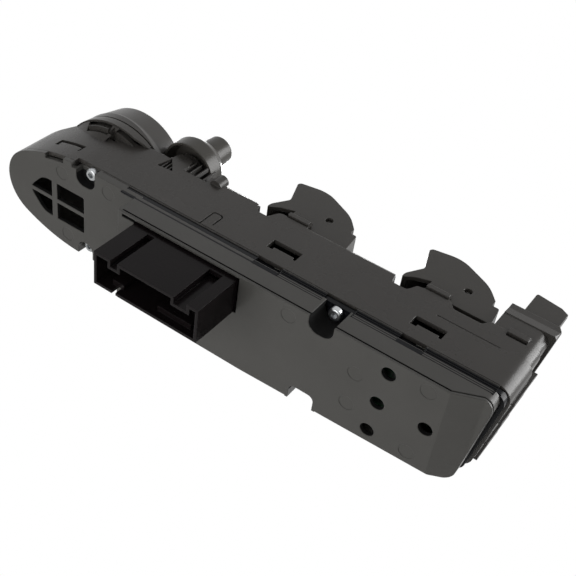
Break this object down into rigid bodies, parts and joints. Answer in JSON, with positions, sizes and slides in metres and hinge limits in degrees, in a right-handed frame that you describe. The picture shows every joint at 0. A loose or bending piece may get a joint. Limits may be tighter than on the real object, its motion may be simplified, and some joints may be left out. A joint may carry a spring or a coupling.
{
  "type": "power window switch",
  "caption": "Driver's door switch panel with hooked window rockers, a tilting mirror pad in a round turret, a mirror selector knob, a lock key and a connector inlet below.",
  "frame": {"origin": "on the trim face (top of the deck between the two rows of rockers), on the centre line, midway between the rocker pivots", "axes": "+Z out of the trim face toward the driver, +X from the round nose to the square end, -Y the long side with the snap slots seen in the picture"},
  "size_m": [0.2236, 0.0548, 0.0901],
  "materials": {
    "housing_plastic": "fine grained warm black moulding",
    "cover_plastic": "fine grained warm black moulding",
    "carrier_plastic": "smooth blue black moulding",
    "turret_plastic": "fine grained warm black moulding",
    "pad_plastic": "fine grained black moulding",
    "knob_plastic": "soft satin black moulding",
    "rocker_plastic": "fine grained warm black moulding",
    "key_plastic": "fine grained warm black moulding",
    "connector_plastic": "glass filled, half gloss black",
    "gimbal_plastic": "natural acetal",
    "slider_plastic": "natural acetal",
    "switch_plastic": "small black switch case",
    "board_laminate": "green solder mask on glass laminate",
    "chip_resin": "moulded epoxy",
    "capacitor_can": "drawn can",
    "dome_rubber": "moulded silicone",
    "spring_brass": "rolled strip",
    "tinned_brass": "tin plated",
    "spring_steel": "drawn wire",
    "zinc_steel": "bright zinc plated"
  },
  "bodies": {
    "panel": {"upper_housing": "housing_plastic", "lower_cover": "cover_plastic", "inner_carrier": "carrier_plastic", "circuit_board": "board_laminate", "connector_shroud": "connector_plastic", "connector_pins": "tinned_brass", "control_chip": "chip_resin", "capacitors": "capacitor_can", "cover_screws": "zinc_steel", "mirror_turret": "turret_plastic", "mirror_board": "board_laminate", "dome_mat": "dome_rubber", "lock_switch": "switch_plastic", "lock_spring": "spring_steel"},
    "rocker_front_near": {"rocker_front_near": "rocker_plastic"},
    "slider_front_near": {"slider_front_near": "slider_plastic", "contact_spring_front_near": "spring_brass"},
    "rocker_front_far": {"rocker_front_far": "rocker_plastic"},
    "slider_front_far": {"slider_front_far": "slider_plastic", "contact_spring_front_far": "spring_brass"},
    "rocker_rear_near": {"rocker_rear_near": "rocker_plastic"},
    "slider_rear_near": {"slider_rear_near": "slider_plastic", "contact_spring_rear_near": "spring_brass"},
    "rocker_rear_far": {"rocker_rear_far": "rocker_plastic"},
    "slider_rear_far": {"slider_rear_far": "slider_plastic", "contact_spring_rear_far": "spring_brass"},
    "lock_key": {"lock_button": "key_plastic"},
    "knob": {"selector_knob": "knob_plastic", "selector_rotor": "gimbal_plastic", "selector_wiper": "spring_brass"},
    "gimbal": {"pad_gimbal": "gimbal_plastic"},
    "pad": {"mirror_pad": "pad_plastic"}
  },
  "joints": [
    {"name": "rocker_front_near_tilt", "type": "hinge", "parent": "panel", "child": "rocker_front_near", "pos_m": [-0.03, -0.0101, 0.0115], "axis": [0, 1, 0], "range_deg": [-5, 5], "stiffness_Nm_per_rad": 0.4},
    {"name": "slider_front_near_travel", "type": "slide", "parent": "panel", "child": "slider_front_near", "axis": [1, 0, 0], "range_m": [-0.0029, 0.0029]},
    {"name": "rocker_front_far_tilt", "type": "hinge", "parent": "panel", "child": "rocker_front_far", "pos_m": [-0.03, 0.0101, 0.0115], "axis": [0, 1, 0], "range_deg": [-5, 5], "stiffness_Nm_per_rad": 0.4},
    {"name": "slider_front_far_travel", "type": "slide", "parent": "panel", "child": "slider_front_far", "axis": [1, 0, 0], "range_m": [-0.0029, 0.0029]},
    {"name": "rocker_rear_near_tilt", "type": "hinge", "parent": "panel", "child": "rocker_rear_near", "pos_m": [0.03, -0.0101, 0.0115], "axis": [0, 1, 0], "range_deg": [-5, 5], "stiffness_Nm_per_rad": 0.4},
    {"name": "slider_rear_near_travel", "type": "slide", "parent": "panel", "child": "slider_rear_near", "axis": [1, 0, 0], "range_m": [-0.0029, 0.0029]},
    {"name": "rocker_rear_far_tilt", "type": "hinge", "parent": "panel", "child": "rocker_rear_far", "pos_m": [0.03, 0.0101, 0.0115], "axis": [0, 1, 0], "range_deg": [-5, 5], "stiffness_Nm_per_rad": 0.4},
    {"name": "slider_rear_far_travel", "type": "slide", "parent": "panel", "child": "slider_rear_far", "axis": [1, 0, 0], "range_m": [-0.0029, 0.0029]},
    {"name": "lock_press", "type": "slide", "parent": "panel", "child": "lock_key", "axis": [0, 0, -1], "range_m": [0, 0.0015], "stiffness_N_per_m": 1000, "springref_m": -0.0004, "deforming": ["lock_spring"]},
    {"name": "selector_turn", "type": "hinge", "parent": "panel", "child": "knob", "pos_m": [-0.0934, -0.0141, 0], "axis": [0, 0, 1], "range_deg": [-45, 45]},
    {"name": "pad_side_tilt", "type": "hinge", "parent": "panel", "child": "gimbal", "pos_m": [-0.1241, -0.002, 0.006], "axis": [1, 0, 0], "range_deg": [-4, 4], "stiffness_Nm_per_rad": 0.1},
    {"name": "pad_nose_tilt", "type": "hinge", "parent": "gimbal", "child": "pad", "pos_m": [-0.1241, -0.002, 0.006], "axis": [0, 1, 0], "range_deg": [-4, 4], "stiffness_Nm_per_rad": 0.1}
  ],
  "couplings": [
    {"joint": "slider_front_near_travel", "follows": "rocker_front_near_tilt", "m_per_rad": -0.0325},
    {"joint": "slider_front_far_travel", "follows": "rocker_front_far_tilt", "m_per_rad": -0.0325},
    {"joint": "slider_rear_near_travel", "follows": "rocker_rear_near_tilt", "m_per_rad": -0.0325},
    {"joint": "slider_rear_far_travel", "follows": "rocker_rear_far_tilt", "m_per_rad": -0.0325}
  ]
}
